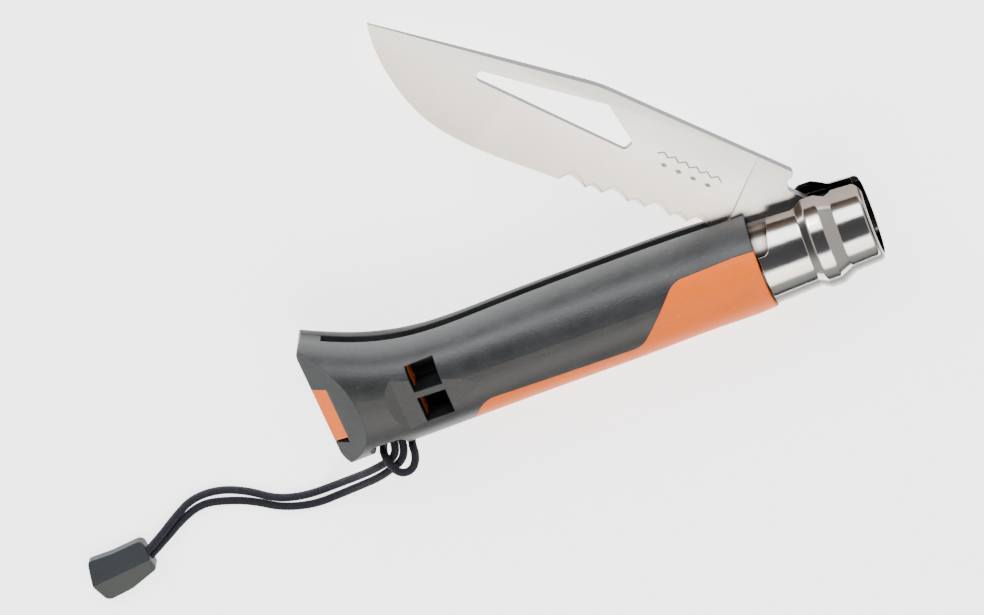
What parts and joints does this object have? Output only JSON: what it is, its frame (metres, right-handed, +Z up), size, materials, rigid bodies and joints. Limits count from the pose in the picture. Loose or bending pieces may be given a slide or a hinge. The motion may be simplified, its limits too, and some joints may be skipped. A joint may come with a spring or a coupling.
{
  "type": "rigging knife",
  "caption": "Folding sailor's rigging knife, blade half open, with partly serrated edge, shackle key cut-out, rotating lock ring, whistle butt and lanyard with a tapered pull.",
  "frame": {"origin": "middle of the underside of the knife's own bounding box (without the lanyard), on the ground it lies on", "axes": "+X along the handle from the whistle butt to the collar, +Y out of the blade slot, +Z up, parallel to the blade's pivot"},
  "size_m": [0.1678, 0.0966, 0.0199],
  "materials": {
    "blade_steel": "satin",
    "polished_steel": "polished",
    "grey_polyamide": "fine grain",
    "orange_elastomer": "matte",
    "orange_plastic": "matte",
    "cord_braid": "braided",
    "pull_rubber": "matte"
  },
  "bodies": {
    "handle": {"handle_body": "grey_polyamide", "belly_grip": "orange_elastomer", "whistle_insert": "orange_plastic", "fixed_collar": "polished_steel", "pivot_rivet": "polished_steel", "cord_upper": "cord_braid", "cord_lower": "cord_braid", "cord_hitch": "cord_braid", "cord_pull": "pull_rubber"},
    "blade": {"blade": "blade_steel"},
    "lock_ring": {"lock_ring": "polished_steel"}
  },
  "joints": [
    {"name": "blade_hinge", "type": "hinge", "parent": "handle", "child": "blade", "pos_m": [0.04545, -0.02886, 0.00995], "axis": [0, 0, 1], "range_deg": [-132, 43]},
    {"name": "ring_turn", "type": "hinge", "parent": "handle", "child": "lock_ring", "pos_m": [0.04545, -0.02886, 0.00995], "axis": [1, 0, 0], "range_deg": [-12, 12]}
  ]
}
